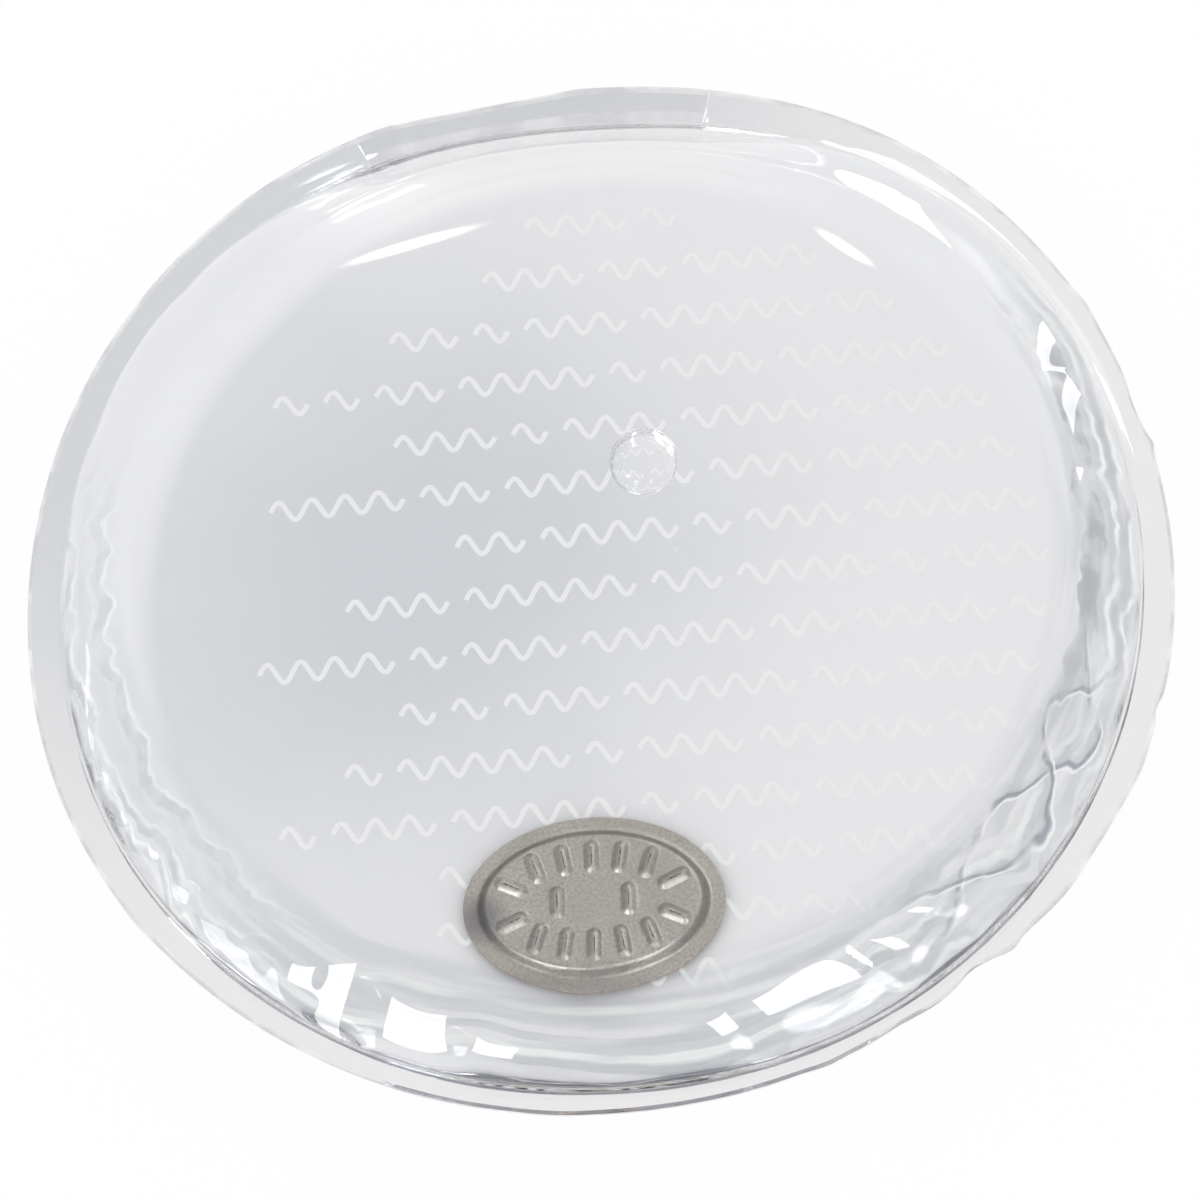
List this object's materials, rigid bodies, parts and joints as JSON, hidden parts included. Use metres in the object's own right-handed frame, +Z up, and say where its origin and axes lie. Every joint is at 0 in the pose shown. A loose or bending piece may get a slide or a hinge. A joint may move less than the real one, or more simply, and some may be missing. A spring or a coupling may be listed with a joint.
{
  "type": "reusable hand warmer",
  "caption": "Round clear vinyl pouch of salt solution with a loose oval steel clicker disc, welded flange and printed back; rests flat on its printed side.",
  "frame": {"origin": "middle of the pouch's outline, on the surface that it rests on", "axes": "+Z up through the pouch's thickness, from the printed back to the clear front; +X along the printed rows; +Y towards the fill mouth"},
  "size_m": [0.0895, 0.0894, 0.015],
  "materials": {
    "front_vinyl": "gloss",
    "back_vinyl": "gloss",
    "welded_vinyl": "gloss",
    "resealed_vinyl": "satin",
    "salt_solution": "gloss",
    "sprung_steel": "satin",
    "pale_ink": "matte"
  },
  "bodies": {
    "pouch": {"front_film": "front_vinyl", "back_film": "back_vinyl", "weld_flange": "welded_vinyl", "mouth_seal": "resealed_vinyl", "solution": "salt_solution", "back_print": "pale_ink"},
    "disc_rim": {"clicker_rim": "sprung_steel"},
    "disc_crown": {"clicker_crown": "sprung_steel"}
  },
  "joints": [
    {"name": "disc_drift", "type": "slide", "parent": "pouch", "child": "disc_rim", "axis": [0, 1, 0], "range_m": [0, 0.052], "deforming": ["solution"]},
    {"name": "disc_click", "type": "slide", "parent": "disc_rim", "child": "disc_crown", "axis": [0, 0, -1], "range_m": [0, 0.0008], "stiffness_N_per_m": 2000, "deforming": ["solution"]}
  ]
}
